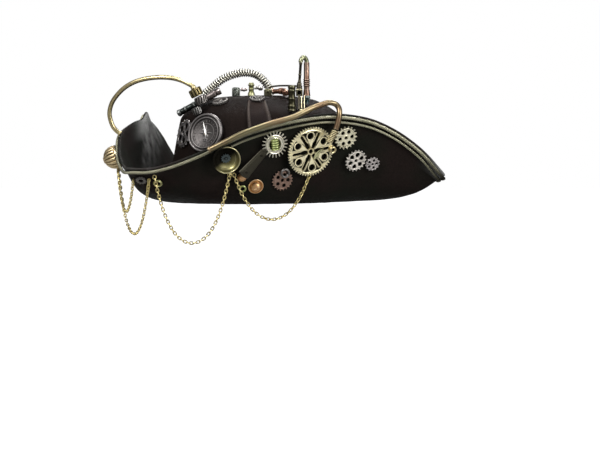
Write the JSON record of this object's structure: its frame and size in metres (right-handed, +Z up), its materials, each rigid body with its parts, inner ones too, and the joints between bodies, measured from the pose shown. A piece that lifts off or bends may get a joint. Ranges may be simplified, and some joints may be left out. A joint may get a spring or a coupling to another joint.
{
  "type": "three-cornered steampunk hat",
  "caption": "Three-cornered leather-look hat with a domed crown, dressed with clock gears, a compass, bent tubes, valve parts and hanging chains.",
  "frame": {"origin": "middle of the head opening, at the height where the crown meets the brim; the hat is held up there as a head holds it", "axes": "+Z up through the crown, -Y towards the wearer's front, +X towards the wearer's left"},
  "size_m": [0.3556, 0.3109, 0.1752],
  "materials": {
    "crown_leather": "matte brown-black with soft creases",
    "brim_leather": "matte black with a green and brown cast",
    "strap_leather": "matte, with paler welts",
    "antique_gold": "dull antique gold cord and fittings",
    "pale_gold": "bright pale gold plate",
    "chain_gold": "yellow gold chain",
    "aged_brass": "aged brass",
    "olive_bronze": "dark olive bronze",
    "dark_bronze": "nearly black bronze",
    "copper": "worn copper",
    "pewter": "dull pewter with dark recesses",
    "silver": "polished nickel silver",
    "dark_steel": "blackened steel"
  },
  "bodies": {
    "root": {"crown": "crown_leather", "brim": "brim_leather", "edge_cord": "antique_gold", "second_cord": "antique_gold", "crown_strap": "strap_leather", "strap_medallion": "pewter", "compass_case": "pewter", "compass_needle": "silver", "side_gear": "pewter", "oval_gear": "pewter", "barrel": "dark_steel", "hose_cap": "olive_bronze", "hose_silver_sleeve": "silver", "hose_steel_sleeve": "dark_steel", "loop_tube": "aged_brass", "spring_arch": "silver", "ribbed_knob": "dark_steel", "cross_bar": "silver", "valve_stem": "olive_bronze", "valve_arm": "silver", "bronze_block": "olive_bronze", "copper_pipe": "copper", "copper_elbow": "copper", "pewter_collar": "pewter", "bronze_cylinder": "olive_bronze", "square_nut": "aged_brass", "thin_rods": "pale_gold", "left_fitting": "dark_bronze", "pipe_thin_leg": "dark_bronze", "pipe_bend": "antique_gold", "pipe_copper_leg": "copper", "copper_cone": "copper", "ribbed_collar": "dark_steel", "brim_tube": "aged_brass", "tube_ferrule": "aged_brass", "eye_ring": "aged_brass", "clock_gear": "pale_gold", "gold_leaf": "chain_gold", "gear_two": "pale_gold", "gear_three": "silver", "gear_four": "pewter", "long_tooth_gear": "silver", "turned_hub": "olive_bronze", "lever": "dark_bronze", "watch_dish": "aged_brass", "dish_gear": "pewter", "copper_gear": "copper", "pewter_ring": "pewter", "rivet_front": "copper", "rivet_rear": "copper", "dark_ring": "dark_bronze", "front_ring_gear": "pewter", "front_bronze_ring": "dark_bronze", "ribbed_dome": "aged_brass", "chain_short": "chain_gold", "chain_left": "chain_gold", "chain_front": "chain_gold", "chain_side": "chain_gold"}
  },
  "joints": []
}
